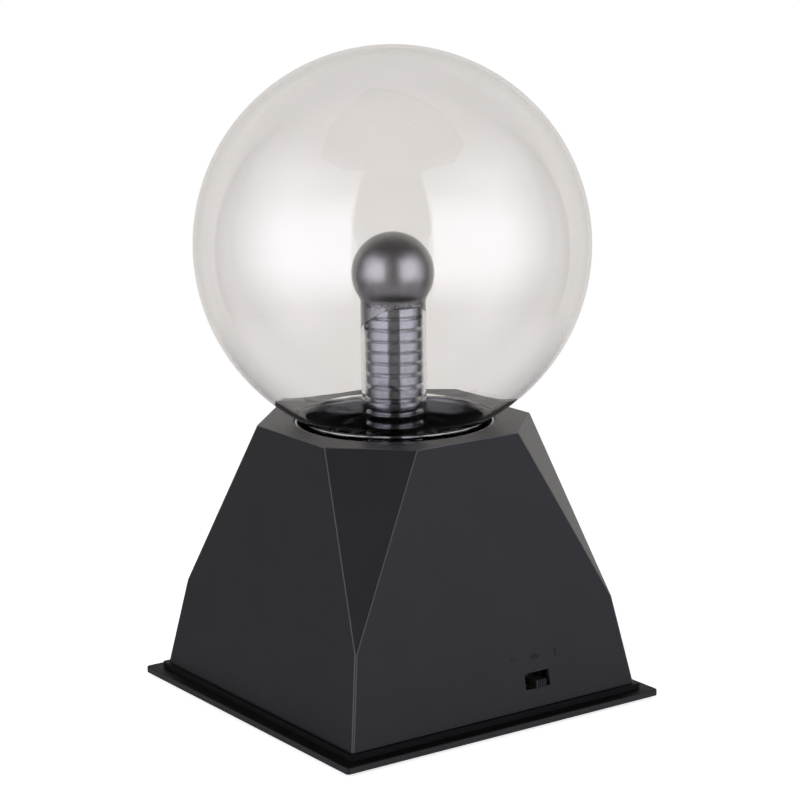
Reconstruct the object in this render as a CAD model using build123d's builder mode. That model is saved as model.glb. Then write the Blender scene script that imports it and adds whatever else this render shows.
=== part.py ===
from build123d import *

import os
from math import atan, atan2, cos, degrees, pi, radians, sin, sqrt, tan

# Plasma ball, in millimetres. Origin: centre of the square of rubber feet, on the table.
# +Z is up along the axis of the globe, and -Y is the side with the switch.

# ---------------------------------------------------------------- driving dimensions
# base plate
foot_drop = 1.5  # how far the feet stand below the plate
foot_radius = 7.0
foot_sink = 0.8  # depth of the recess that each foot is stuck in
foot_reach = 82.0  # x and y of a foot's centre
plate_half = 96.0
flange_height = 3.2
pad_half = 89.6  # raised pad inside the plate's rim
pad_height = 3.0
pocket_half = 66.0  # hollow under the pad
pad_skin = 2.8

# housing
housing_foot_half = 87.2
housing_top = 143.1
top_half = 63.3  # half width of the eight-sided top
corner_leg = 32.5  # how much each top corner is cut back along both sides
facet_tip_z = 51.0  # lowest point of each triangular corner facet
wall = 2.4
ridge_fillet = 1.5
rim_fillet = 0.6
post_reach = 73.0  # x and y of the corner screw posts
post_radius = 4.5
post_top = 72.0

# globe
globe_radius = 100.25
globe_wall = 1.8
globe_centre_z = 232.6
neck_radius = 46.5
neck_blend = 3.0
neck_shoulder = 10.0
neck_bottom = 106.0
seal_radius = 24.0  # ring where globe and electrode glass are fused
exhaust_reach = 34.0
exhaust_radius = 2.6
exhaust_length = 8.0

# electrode
bulb_radius = 21.0
bulb_centre_z = 218.5
tube_radius = 16.6
tube_blend = 6.0
tube_wall = 1.4
film_gap = 0.02
film_thickness = 0.15
film_end_z = 193.9  # height of the film's slanted lower edge, on the axis
film_lean_x = 0.115
film_lean_y = 0.625

# corrugated contact sleeve inside the electrode
sleeve_top = 202.3
sleeve_radius = 14.9
sleeve_root = 12.4
sleeve_pitch = 6.1
sleeve_rings = 16
band_height = 4.1
slant_height = 0.9
sheet = 0.4

# cradle that holds the neck
recess_radius = 51.5  # hole in the housing's top
rim_gap = 0.3
rim_drop = 0.5
dish_top_radius = 49.8
dish_floor_radius = 48.4
dish_floor_z = 135.7
throat_radius = 47.1
throat_wall = 2.2
seat_z = 104.0
seat_thickness = 2.5
seat_hole = 26.0
flange_radius = 59.5
flange_top = 134.6
cradle_flange = 2.5
cradle_screw_reach = 55.5

# contact plug under the seat
plug_radius = 42.0
plug_boss_radius = 11.2
plug_boss_top = 124.0
plug_spots = [(-38.0, 0), (38.0, 0)]
exhaust_room = 1.6  # clearance around the exhaust tip

# circuit board
board_width = 100.0
board_length = 100.0
board_y = -27.0
board_z = 13.7
board_thickness = 1.6
board_screw_x = 45.0
board_screw_ys = (-70.0, 16.0)

# switch
switch_x = 26.1
window_width = 15.25
window_height = 8.15
window_z = 21.03
knob_width = 6.4
knob_height = 4.2
knob_z = 19.7
knob_end_y = -88.1
knob_travel = 4.0  # each way from the middle position
groove_pitch = 1.15
groove_width = 0.5
groove_depth = 0.45
frame_front_y = -75.6
frame_depth = 9.0
frame_width = 20.0
frame_height = 8.6
frame_sheet = 0.6
frame_slot_gap = 0.3  # play around the knob in the frame's slot
symbol_z = 32.7
symbol_step = 13.0
symbol_proud = 0.3
symbol_root = 0.2  # how far the symbols reach into the wall, so that they fuse with it
symbol_height = 3.5
symbol_line = 0.5
bar_heights = (1.2, 2.2, 3.2, 2.2, 1.2)
bar_pitch = 1.1

# transformer
core_x = -20.0
core_y = -6.0
core_width = 42.0
core_depth = 12.0
core_bottom = 18.0
core_top = 57.0
core_yoke = 6.5
core_leg = 6.0  # half of the centre leg, and a side leg's width
winding_radius = 14.2
bobbin_radius = 14.8
core_gap = 0.1

# power socket on the back wall
jack_x = -26.0
jack_z = 24.0
jack_barrel = 5.4
jack_bore = 2.8
jack_pin_radius = 1.05
jack_flange_radius = 6.6
jack_flange = 1.5
jack_length = 14.0
nut_height = 2.2
nut_radius = 7.6  # to its corners

# screws: shank radius, head radius, head height
plate_screw = (1.4, 3.1, 2.0)
small_screw = (1.1, 2.3, 1.6)
head_gap = 0.3  # around and under a sunk head
shank_gap = 0.2  # around a shank that passes through
thread_gap = 0.03  # around a shank that is screwed in
cross_slot = 0.6

# parts on the board: spots are x, y
chip_spot = (-2.0, -44.0)
chip_size = (9.6, 6.4)
chip_lift = 0.8
chip_height = 3.4
pin_pitch = 2.54
chip_row_gap = 7.6
big_can = (6.3, 22.0)  # radius, height
small_can = (3.2, 11.5)
mic_spot = (2.0, -68.0)
mic_radius = 4.8
mic_height = 6.5
mic_port = 3.6
resistor_y = -50.0
resistor_pitch = 5.0
resistor_radius = 1.25
resistor_half = 3.2
resistor_lift = 1.4
leg_reach = 5.0
choke_spot = (-38.0, -36.0)
choke_outer = 8.5
choke_inner = 4.2
choke_width = 7.0
socket_spot = (-32.0, 14.0)
socket_size = (9.0, 7.0, 7.0)
sink_spot = (27.0, -34.0)
sink_width = 30.0
sink_height = 28.0
sink_back = 3.0
fin_depth = 11.0
fin_pitch = 5.6
tab_hole_lift = 20.0  # height of the transistor's screw above the board
tab_thickness = 1.3
body_thickness = 4.6
transistor_width = 10.0
transistor_lift = 4.0

# ---------------------------------------------------------------- derived dimensions
plate_z = foot_drop
flange_z = plate_z + flange_height
pad_z = flange_z + pad_height
slope = (housing_foot_half - top_half) / (housing_top - pad_z)
lean = degrees(atan(slope))
facet_tip_half = housing_foot_half - slope * (facet_tip_z - pad_z)
facet_rise = (2 * facet_tip_half - 2 * top_half + corner_leg) / (housing_top - facet_tip_z)
board_top = board_z + board_thickness
corners = [(sx, sy) for sx in (-1, 1) for sy in (-1, 1)]


def wall_half(z):
    """Distance from the axis to the outside of a side wall at height z."""
    return housing_foot_half - slope * (z - pad_z)


def faceted_block(inset, below=0.0):
    """The housing's outline moved in by inset: a leaning square block with four cut corners."""
    half = housing_foot_half - inset / cos(radians(lean)) + slope * below
    with BuildPart() as block:
        with BuildSketch(Plane.XY.offset(pad_z - below)):
            Rectangle(2 * half, 2 * half)
        extrude(amount=housing_top - inset - pad_z + below, taper=lean)
        for sx, sy in corners:
            outward = Vector(sx, sy, facet_rise).normalized()
            tip = Vector(sx * facet_tip_half, sy * facet_tip_half, facet_tip_z) - outward * inset
            split(bisect_by=Plane(origin=tip, x_dir=(-sy, sx, 0), z_dir=outward), keep=Keep.BOTTOM)
    return block.part


def screw_group(spots, head_z, length, size, up):
    """Pan-head screws at spots (x, y). The head's seat is at head_z; the shank points up or down."""
    shank, head, head_height = size
    way = 1 if up else -1
    with BuildPart() as group:
        for x, y in spots:
            with BuildSketch(Plane.XY.offset(head_z)):
                with Locations((x, y)):
                    Circle(head)
            extrude(amount=-way * head_height)
            with BuildSketch(Plane.XY.offset(head_z)):
                with Locations((x, y)):
                    Circle(shank)
            extrude(amount=way * length)
            with BuildSketch(Plane.XY.offset(head_z - way * head_height)):
                with Locations((x, y)):
                    Rectangle(head * 1.1, cross_slot)
                    Rectangle(cross_slot, head * 1.1)
            extrude(amount=way * head_height * 0.5, mode=Mode.SUBTRACT)
    return group


def lead(points, radius):
    """An insulated wire along straight runs joined by arcs as large as the runs allow."""
    corners_at = [Vector(p) for p in points]
    runs = [b - a for a, b in zip(corners_at, corners_at[1:])]
    radii = []
    for before, after in zip(runs, runs[1:]):
        turn = radians(before.get_angle(after))
        radii.append(0.45 * min(before.length, after.length) / tan(turn / 2))
    with BuildPart() as wire:
        with BuildLine() as route:
            FilletPolyline(*corners_at, radius=radii)
        with BuildSketch(Plane(origin=corners_at[0], z_dir=runs[0])):
            Circle(radius)
        sweep(path=route.wire())
    ratio = wire.part.volume / (pi * radius**2 * route.wire().length)
    print("lead radii", [round(r, 1) for r in radii], "volume ratio", round(ratio, 4))
    return wire


# ---------------------------------------------------------------- base plate and feet
post_spots = [(sx * post_reach, sy * post_reach) for sx, sy in corners]
foot_spots = [(sx * foot_reach, sy * foot_reach) for sx, sy in corners]
board_spots = [(sx * board_screw_x, y) for sx in (-1, 1) for y in board_screw_ys]

with BuildPart() as base_plate:
    with BuildSketch(Plane.XY.offset(plate_z)):
        RectangleRounded(2 * plate_half, 2 * plate_half, 1.8)
    extrude(amount=flange_height)
    chamfer(base_plate.faces().sort_by(Axis.Z)[-1].edges(), length=0.4)
    with BuildSketch(Plane.XY.offset(flange_z)):
        RectangleRounded(2 * pad_half, 2 * pad_half, 1.5)
    extrude(amount=pad_height)
    with BuildSketch(Plane.XY.offset(plate_z)):
        RectangleRounded(2 * pocket_half, 2 * pocket_half, 6)
    extrude(amount=pad_z - pad_skin - plate_z, mode=Mode.SUBTRACT)
    # posts for the circuit board
    with BuildSketch(Plane.XY.offset(pad_z)):
        with Locations(*board_spots):
            Circle(3.6)
            Circle(1.15, mode=Mode.SUBTRACT)
    extrude(amount=board_z - pad_z)
    # air and sound slots behind the board
    with BuildSketch(Plane.XY.offset(pad_z)):
        with Locations((0, 46)):
            with GridLocations(9, 0, 9, 1):
                SlotOverall(26, 3.2, rotation=90)
    extrude(amount=-pad_skin, mode=Mode.SUBTRACT)
    # recesses for the feet and counterbored screw holes
    with BuildSketch(Plane.XY.offset(plate_z)):
        with Locations(*foot_spots):
            Circle(foot_radius + 0.15)
    extrude(amount=foot_sink, mode=Mode.SUBTRACT)
    with BuildSketch(Plane.XY.offset(plate_z)):
        with Locations(*post_spots):
            Circle(plate_screw[1] + head_gap)
    extrude(amount=plate_screw[2] + head_gap, mode=Mode.SUBTRACT)
    with BuildSketch(Plane.XY.offset(plate_z)):
        with Locations(*post_spots):
            Circle(plate_screw[0] + shank_gap)
    extrude(amount=pad_z - plate_z, mode=Mode.SUBTRACT)
base_plate.part.label = "base_plate"

feet = []
foot_names = ["foot_back_left", "foot_back_right", "foot_front_left", "foot_front_right"]
for foot_name in foot_names:
    spot_x = foot_reach if "right" in foot_name else -foot_reach
    spot_y = foot_reach if "back" in foot_name else -foot_reach
    with BuildPart() as foot:
        with BuildSketch(Plane.XY):
            with Locations((spot_x, spot_y)):
                Circle(foot_radius)
        extrude(amount=foot_drop + foot_sink)
        chamfer(foot.faces().sort_by(Axis.Z)[0].edges(), length=0.5)
    foot.part.label = foot_name
    feet.append(foot)

screw_seat = plate_z + plate_screw[2] + head_gap
base_screws = screw_group(post_spots, screw_seat, 14.0, plate_screw, up=True)
base_screws.part.label = "base_screws"

# ---------------------------------------------------------------- housing
front_out = Vector(0, -cos(radians(lean)), sin(radians(lean)))
back_out = Vector(0, cos(radians(lean)), sin(radians(lean)))
cradle_angles = (0, 90, 180, 270)
cradle_spots = [
    (cradle_screw_reach * cos(radians(turn)), cradle_screw_reach * sin(radians(turn)))
    for turn in cradle_angles
]

with BuildPart() as posts:
    # corner posts that grow into the walls higher up, with a rib to each wall
    with BuildSketch(Plane.XY.offset(pad_z + 0.4)):
        with Locations(*post_spots):
            Circle(post_radius)
        for sx, sy in corners:
            with Locations((sx * (post_reach + 6), sy * post_reach)):
                Rectangle(14, 1.8)
            with Locations((sx * post_reach, sy * (post_reach + 6))):
                Rectangle(1.8, 14)
    extrude(amount=post_top - pad_z - 0.4)
    add(faceted_block(wall / 2), mode=Mode.INTERSECT)
    with BuildSketch(Plane.XY.offset(pad_z)):
        with Locations(*post_spots):
            Circle(plate_screw[0] + thread_gap)
    extrude(amount=16, mode=Mode.SUBTRACT)

with BuildPart() as housing:
    add(faceted_block(0))
    ridges = housing.edges().filter_by(lambda e: pad_z + 1 < e.center().Z < housing_top - 1)
    fillet(ridges, radius=ridge_fillet)
    fillet(housing.faces().sort_by(Axis.Z)[-1].edges(), radius=rim_fillet)
    add(faceted_block(wall, below=1), mode=Mode.SUBTRACT)
    add(posts.part)
    with BuildSketch(Plane.XY.offset(housing_top)):
        Circle(recess_radius)
    extrude(amount=-wall, mode=Mode.SUBTRACT)
    hole_rim = housing.edges().filter_by(GeomType.CIRCLE).filter_by(
        lambda e: abs(e.radius - recess_radius) < 0.01 and e.center().Z > housing_top - 0.1
    )
    fillet(hole_rim, radius=0.4)
    # bosses for the cradle's screws, under the top
    with BuildSketch(Plane.XY.offset(housing_top - wall)):
        with Locations(*cradle_spots):
            Circle(3.2)
    extrude(amount=-(housing_top - wall - flange_top))
    with BuildSketch(Plane.XY.offset(flange_top)):
        with Locations(*cradle_spots):
            Circle(small_screw[0] + thread_gap)
    extrude(amount=6.0, mode=Mode.SUBTRACT)
    # window for the switch knob
    with BuildSketch(Plane.XZ.offset(housing_foot_half)):
        with Locations((switch_x, window_z)):
            Rectangle(window_width, window_height)
    extrude(amount=-3 * wall, mode=Mode.SUBTRACT)
    # raised symbols above the three switch positions: ring, rising bars, line
    symbol_origin = (switch_x, -wall_half(symbol_z), symbol_z)
    symbol_plane = Plane(origin=symbol_origin, x_dir=(1, 0, 0), z_dir=front_out)
    with BuildSketch(symbol_plane.offset(-symbol_root)):
        with Locations((-symbol_step, 0)):
            Circle(symbol_height / 2)
            Circle(symbol_height / 2 - symbol_line, mode=Mode.SUBTRACT)
        for step, height in enumerate(bar_heights):
            with Locations((bar_pitch * (step - len(bar_heights) // 2), 0)):
                Rectangle(symbol_line, height)
        with Locations((symbol_step, 0)):
            Rectangle(symbol_line, symbol_height)
    extrude(amount=symbol_proud + symbol_root)
    # hole for the power socket
    jack_spot = (jack_x, wall_half(jack_z), jack_z)
    with BuildSketch(Plane(origin=jack_spot, x_dir=(-1, 0, 0), z_dir=back_out)):
        Circle(jack_barrel + 0.15)
    extrude(amount=-2 * wall, mode=Mode.SUBTRACT)
housing.part.label = "housing"

# ---------------------------------------------------------------- cradle and seals
with BuildPart() as globe_cradle:
    rim_outer = recess_radius - rim_gap
    rim_top = housing_top - rim_drop
    throat_outer = throat_radius + throat_wall
    seat_bottom = seat_z - seat_thickness
    with BuildSketch(Plane.XZ):
        with BuildLine():
            Polyline(
                (seat_hole, seat_z),
                (throat_radius, seat_z),
                (throat_radius, dish_floor_z),
                (dish_floor_radius, dish_floor_z),
                (dish_top_radius, rim_top),
                (rim_outer, rim_top),
                (rim_outer, flange_top),
                (flange_radius, flange_top),
                (flange_radius, flange_top - cradle_flange),
                (throat_outer, flange_top - cradle_flange),
                (throat_outer, seat_bottom),
                (seat_hole, seat_bottom),
                close=True,
            )
        make_face()
    revolve(axis=Axis.Z)
    fillet(globe_cradle.faces().sort_by(Axis.Z)[-1].edges(), radius=0.4)
    with BuildSketch(Plane.XY.offset(flange_top)):
        with Locations(*cradle_spots):
            Circle(small_screw[0] + shank_gap)
    extrude(amount=-cradle_flange, mode=Mode.SUBTRACT)
    with BuildSketch(Plane.XY.offset(seat_z)):
        with Locations((0, exhaust_reach)):
            Circle(exhaust_radius + exhaust_room)
        with Locations(*plug_spots):
            Circle(small_screw[0] + thread_gap)
    extrude(amount=-seat_thickness, mode=Mode.SUBTRACT)
globe_cradle.part.label = "globe_cradle"

cradle_screws = screw_group(cradle_spots, flange_top - cradle_flange, 7.5, small_screw, up=True)
cradle_screws.part.label = "cradle_screws"

with BuildPart() as globe_gasket:
    with BuildSketch(Plane.XY.offset(seat_z)):
        Circle(neck_radius - neck_shoulder + 1.5)
        Circle(seat_hole + 4.0, mode=Mode.SUBTRACT)
        with Locations((0, exhaust_reach)):
            Circle(exhaust_radius + 1.0, mode=Mode.SUBTRACT)
    extrude(amount=neck_bottom - seat_z)
globe_gasket.part.label = "globe_gasket"

with BuildPart() as silicone_bead:
    with BuildSketch(Plane.XZ):
        with BuildLine():
            Polyline(
                (seal_radius + 1.0, neck_bottom),
                (seat_hole + 3.5, neck_bottom),
                (seat_hole + 3.5, seat_z),
                (seat_hole, seat_z),
                (seat_hole, seat_bottom),
                (seal_radius + 1.0, seat_bottom),
                close=True,
            )
        make_face()
    revolve(axis=Axis.Z)
silicone_bead.part.label = "silicone_bead"

# ---------------------------------------------------------------- globe and electrode glass
neck_blend_x = neck_radius + neck_blend
neck_blend_z = globe_centre_z - sqrt((globe_radius + neck_blend) ** 2 - neck_blend_x**2)
neck_angle = degrees(atan2(neck_blend_z - globe_centre_z, neck_blend_x))
shoulder_x = neck_radius - neck_shoulder
shoulder_z = neck_bottom + neck_shoulder


def globe_line(inset):
    """Half outline of the globe moved in by inset: ball, blend, neck, shoulder and floor."""
    CenterArc((0, globe_centre_z), globe_radius - inset, neck_angle, 90 - neck_angle)
    CenterArc((neck_blend_x, neck_blend_z), neck_blend + inset, neck_angle + 180, -neck_angle)
    Line((neck_radius - inset, neck_blend_z), (neck_radius - inset, shoulder_z))
    CenterArc((shoulder_x, shoulder_z), neck_shoulder - inset, 270, 90)
    Line((shoulder_x, neck_bottom + inset), (seal_radius, neck_bottom + inset))


with BuildPart() as glass_globe:
    with BuildSketch(Plane.XZ):
        with BuildLine():
            globe_line(0)
            Line((seal_radius, neck_bottom), (seal_radius, neck_bottom + globe_wall))
            globe_line(globe_wall)
            crown = globe_centre_z + globe_radius
            Line((0, crown - globe_wall), (0, crown))
        make_face()
    revolve(axis=Axis.Z)
    # sealed exhaust tip that points down from the neck's floor
    with BuildSketch(Plane.XY.offset(neck_bottom + globe_wall / 2)):
        with Locations((0, exhaust_reach)):
            Circle(exhaust_radius)
    extrude(amount=-exhaust_length, taper=8)
glass_globe.part.label = "glass_globe"

tube_blend_x = tube_radius + tube_blend
tube_blend_z = bulb_centre_z - sqrt((bulb_radius + tube_blend) ** 2 - tube_blend_x**2)
tube_angle = degrees(atan2(tube_blend_z - bulb_centre_z, tube_blend_x))
flare = seal_radius - tube_radius
flare_z = neck_bottom + globe_wall + flare


def electrode_line(inset, end_z):
    """Half outline of the electrode moved in by inset: bulb, blend and tube, down to end_z."""
    CenterArc((0, bulb_centre_z), bulb_radius - inset, tube_angle, 90 - tube_angle)
    CenterArc((tube_blend_x, tube_blend_z), tube_blend + inset, tube_angle + 180, -tube_angle)
    Line((tube_radius - inset, tube_blend_z), (tube_radius - inset, end_z))


with BuildPart() as electrode_glass:
    with BuildSketch(Plane.XZ):
        with BuildLine():
            electrode_line(0, flare_z)
            CenterArc((seal_radius, flare_z), flare, 180, 90)
            Line((seal_radius, flare_z - flare), (seal_radius, flare_z - flare - tube_wall))
            CenterArc((seal_radius, flare_z), flare + tube_wall, 180, 90)
            electrode_line(tube_wall, flare_z)
            Line((0, bulb_centre_z + bulb_radius - tube_wall), (0, bulb_centre_z + bulb_radius))
        make_face()
    revolve(axis=Axis.Z)
electrode_glass.part.label = "electrode_glass"

with BuildPart() as electrode_coating:
    film_outer = tube_wall + film_gap
    film_inner = film_outer + film_thickness
    film_cut_z = film_end_z - 2 * tube_radius
    with BuildSketch(Plane.XZ):
        with BuildLine():
            electrode_line(film_outer, film_cut_z)
            Line((tube_radius - film_outer, film_cut_z), (tube_radius - film_inner, film_cut_z))
            electrode_line(film_inner, film_cut_z)
            Line(
                (0, bulb_centre_z + bulb_radius - film_inner),
                (0, bulb_centre_z + bulb_radius - film_outer),
            )
        make_face()
    revolve(axis=Axis.Z)
    film_plane = Plane(origin=(0, 0, film_end_z), z_dir=(film_lean_x, film_lean_y, 1))
    split(bisect_by=film_plane, keep=Keep.TOP)
electrode_coating.part.label = "electrode_coating"

# ---------------------------------------------------------------- contact sleeve and plug
with BuildPart() as contact_sleeve:
    outer = []
    inner = []
    for ring in range(sleeve_rings):
        z = sleeve_top - ring * sleeve_pitch
        outer += [(sleeve_root, z), (sleeve_radius, z)]
        outer += [(sleeve_radius, z - band_height), (sleeve_root, z - band_height - slant_height)]
        inner += [(sleeve_root - sheet, z - sheet), (sleeve_radius - sheet, z - sheet)]
        inner += [(sleeve_radius - sheet, z - band_height + sheet / 2)]
        inner += [(sleeve_root - sheet, z - band_height - slant_height + sheet / 2)]
    with BuildSketch(Plane.XZ):
        with BuildLine():
            Polyline(
                *outer,
                (sleeve_root, seat_bottom),
                (sleeve_root - sheet, seat_bottom),
                *reversed(inner),
                (sleeve_root - sheet, sleeve_top),
                close=True,
            )
        make_face()
    revolve(axis=Axis.Z)
contact_sleeve.part.label = "contact_sleeve"

lead_radius = 1.5
with BuildPart() as contact_plug:
    plug_bottom = seat_bottom - seat_thickness
    with BuildSketch(Plane.XY.offset(plug_bottom)):
        Circle(plug_radius)
        with Locations((0, exhaust_reach)):
            Circle(exhaust_radius + exhaust_room, mode=Mode.SUBTRACT)
        with Locations(*plug_spots):
            Circle(small_screw[0] + shank_gap, mode=Mode.SUBTRACT)
    extrude(amount=seat_thickness)
    with BuildSketch(Plane.XY.offset(seat_bottom)):
        Circle(plug_boss_radius)
    extrude(amount=plug_boss_top - seat_bottom)
    with BuildSketch(Plane.XY.offset(plug_bottom)):
        Circle(lead_radius + 0.1)
    extrude(amount=plug_boss_top - plug_bottom, mode=Mode.SUBTRACT)
contact_plug.part.label = "contact_plug"

plug_screws = screw_group(plug_spots, plug_bottom, 4.6, small_screw, up=True)
plug_screws.part.label = "plug_screws"

with BuildPart() as contact_disc:
    # pressed disc that touches the sleeve's folds, with six slots so that it can flex
    with BuildSketch(Plane.XY.offset(plug_boss_top)):
        Circle(sleeve_root - sheet - 0.02)
        with PolarLocations(9.0, 6):
            Rectangle(7, 1.2, mode=Mode.SUBTRACT)
    extrude(amount=0.6)
contact_disc.part.label = "contact_disc"

# ---------------------------------------------------------------- circuit board
board_back = board_y + board_length / 2
with BuildPart() as circuit_board:
    with BuildSketch(Plane.XY.offset(board_z)):
        with Locations((0, board_y)):
            RectangleRounded(board_width, board_length, 2)
        with Locations(*board_spots):
            Circle(small_screw[0] + shank_gap, mode=Mode.SUBTRACT)
    extrude(amount=board_thickness)
circuit_board.part.label = "circuit_board"

board_screws = screw_group(board_spots, board_top, 6.5, small_screw, up=False)
board_screws.part.label = "board_screws"

# ---------------------------------------------------------------- transformer
window_outer = core_width / 2 - core_leg
core_middle = (core_bottom + core_top) / 2
with BuildPart() as transformer_core:
    # two E-shaped ferrite halves, legs towards each other
    with BuildSketch(Plane.XZ.offset(-core_y)):
        with Locations((core_x, core_middle)):
            Rectangle(core_width, core_top - core_bottom)
            with Locations((-(window_outer + core_leg) / 2, 0), ((window_outer + core_leg) / 2, 0)):
                Rectangle(
                    window_outer - core_leg,
                    core_top - core_bottom - 2 * core_yoke,
                    mode=Mode.SUBTRACT,
                )
            Rectangle(core_width, core_gap, mode=Mode.SUBTRACT)
    extrude(amount=core_depth / 2, both=True)
transformer_core.part.label = "transformer_core"

coil_bottom = core_bottom + core_yoke
coil_top = core_top - core_yoke
flange = 1.6
hv_bottom = coil_bottom + 10.0
with BuildPart() as transformer_bobbin:
    with BuildSketch(Plane.XY.offset(coil_bottom + 0.2)):
        with Locations((core_x, core_y)):
            Rectangle(2 * core_leg + 1.8, core_depth + 1.8)
    extrude(amount=coil_top - coil_bottom - 0.4)
    for z in (coil_bottom + 0.2, hv_bottom, coil_top - 0.2 - flange):
        with BuildSketch(Plane.XY.offset(z)):
            with Locations((core_x, core_y)):
                Circle(bobbin_radius)
        extrude(amount=flange)
    with BuildSketch(Plane.XY.offset(board_top)):
        with Locations((core_x, core_y)):
            Rectangle(30, 28)
    extrude(amount=core_bottom - board_top - 0.2)
    with BuildSketch(Plane.XY.offset(board_top)):
        with Locations((core_x, core_y - 8), (core_x, core_y + 8)):
            Rectangle(16, 2.6)
    extrude(amount=coil_bottom - board_top + 1)
    # terminal post for the high-voltage lead
    with BuildSketch(Plane.XY.offset(coil_top - 1)):
        with Locations((core_x, core_y - 12.5)):
            Circle(1.9)
    extrude(amount=5.5)
    with BuildSketch(Plane.XY.offset(coil_bottom)):
        with Locations((core_x, core_y)):
            Rectangle(2 * core_leg + 0.3, core_depth + 0.3)
    extrude(amount=coil_top - coil_bottom, mode=Mode.SUBTRACT)
transformer_bobbin.part.label = "transformer_bobbin"


def winding(bottom, top, radius):
    """A filled coil of wire between two bobbin flanges."""
    with BuildPart() as coil:
        with BuildSketch(Plane.XY.offset(bottom + 0.05)):
            with Locations((core_x, core_y)):
                Circle(radius)
                Rectangle(2 * core_leg + 2.0, core_depth + 2.0, mode=Mode.SUBTRACT)
        extrude(amount=top - bottom - 0.1)
    return coil


primary_winding = winding(coil_bottom + 0.2 + flange, hv_bottom, winding_radius - 1.2)
primary_winding.part.label = "primary_winding"
hv_winding = winding(hv_bottom + flange, coil_top - 0.2 - flange, winding_radius)
hv_winding.part.label = "hv_winding"

post_end = coil_top + 4.5
hv_lead = lead(
    [
        (0, 0, plug_boss_top),
        (0, 0, plug_bottom - 14),
        (core_x, core_y - 12.5, post_end + 18),
        (core_x, core_y - 12.5, post_end),
    ],
    lead_radius,
)
hv_lead.part.label = "hv_lead"

# ---------------------------------------------------------------- parts on the board
sink_x, sink_y = sink_spot
sink_face = sink_y + sink_back / 2
tab_plane = Plane(
    origin=(sink_x, sink_face, board_top + tab_hole_lift), x_dir=(1, 0, 0), z_dir=(0, 1, 0)
)
with BuildPart() as heatsink:
    with BuildSketch(Plane.XY.offset(board_top)):
        with Locations((sink_x, sink_y)):
            Rectangle(sink_width, sink_back)
        with Locations((sink_x, sink_y - (sink_back + fin_depth) / 2 + 0.5)):
            with GridLocations(fin_pitch, 0, 6, 1):
                Rectangle(1.6, fin_depth)
    extrude(amount=sink_height)
    with BuildSketch(tab_plane):
        Circle(small_screw[0] + thread_gap)
    extrude(amount=-2.6, mode=Mode.SUBTRACT)
heatsink.part.label = "heatsink"

with BuildPart() as power_transistor:
    with BuildSketch(Plane.XY.offset(board_top + transistor_lift)):
        with Locations((sink_x, sink_face + body_thickness / 2)):
            Rectangle(transistor_width, body_thickness)
    extrude(amount=9.2)
    with BuildSketch(Plane.XY.offset(board_top + transistor_lift)):
        with Locations((sink_x, sink_face + tab_thickness / 2)):
            Rectangle(transistor_width, tab_thickness)
    extrude(amount=19)
    with BuildSketch(Plane.XY.offset(board_top)):
        with Locations((sink_x, sink_face + body_thickness / 2)):
            with GridLocations(pin_pitch, 0, 3, 1):
                Rectangle(0.8, 0.5)
    extrude(amount=transistor_lift)
    with BuildSketch(tab_plane):
        Circle(1.6)
    extrude(amount=tab_thickness, mode=Mode.SUBTRACT)
power_transistor.part.label = "power_transistor"

with BuildPart() as transistor_screw:
    screw_plane = tab_plane.offset(tab_thickness)
    with BuildSketch(screw_plane):
        Circle(2.4)
    extrude(amount=1.6)
    with BuildSketch(screw_plane):
        Circle(small_screw[0])
    extrude(amount=-3.6)
    with BuildSketch(screw_plane.offset(1.6)):
        Rectangle(2.8, cross_slot)
        Rectangle(cross_slot, 2.8)
    extrude(amount=-0.8, mode=Mode.SUBTRACT)
transistor_screw.part.label = "transistor_screw"


def cans(spots, radius, height):
    """Round parts on the board, with a pressed groove near the foot and a rounded top."""
    with BuildPart() as group:
        for x, y in spots:
            with BuildSketch(Plane.XY.offset(board_top)):
                with Locations((x, y)):
                    Circle(radius)
            extrude(amount=height * 0.12)
            with BuildSketch(Plane.XY.offset(board_top + height * 0.12)):
                with Locations((x, y)):
                    Circle(radius * 0.93)
            extrude(amount=height * 0.06)
            with BuildSketch(Plane.XY.offset(board_top + height * 0.18)):
                with Locations((x, y)):
                    Circle(radius)
            extrude(amount=height * 0.82)
        level = group.faces().filter_by(Axis.Z)
        tops = level.filter_by(lambda face: face.center().Z > board_top + height - 0.1)
        fillet(tops.edges(), radius=0.5)
    return group


filter_capacitor = cans([(39, 2)], *big_can)
filter_capacitor.part.label = "filter_capacitor"
small_capacitors = cans([(24, -4), (24, 6)], *small_can)
small_capacitors.part.label = "small_capacitors"

with BuildPart() as microphone:
    with BuildSketch(Plane.XY.offset(board_top)):
        with Locations(mic_spot):
            Circle(mic_radius)
    extrude(amount=mic_height)
    chamfer(microphone.faces().sort_by(Axis.Z)[-1].edges(), length=0.4)
    with BuildSketch(Plane.XY.offset(board_top + mic_height)):
        with Locations(mic_spot):
            Circle(mic_port)
    extrude(amount=-0.5, mode=Mode.SUBTRACT)
microphone.part.label = "microphone"

with BuildPart() as driver_chip:
    with BuildSketch(Plane.XY.offset(board_top + chip_lift)):
        with Locations(chip_spot):
            Rectangle(*chip_size)
    extrude(amount=chip_height)
    with BuildSketch(Plane.XY.offset(board_top)):
        with Locations(chip_spot):
            with GridLocations(pin_pitch, chip_row_gap, 4, 2):
                Rectangle(0.6, 1.4)
    extrude(amount=chip_lift + chip_height / 2)
driver_chip.part.label = "driver_chip"

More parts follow.
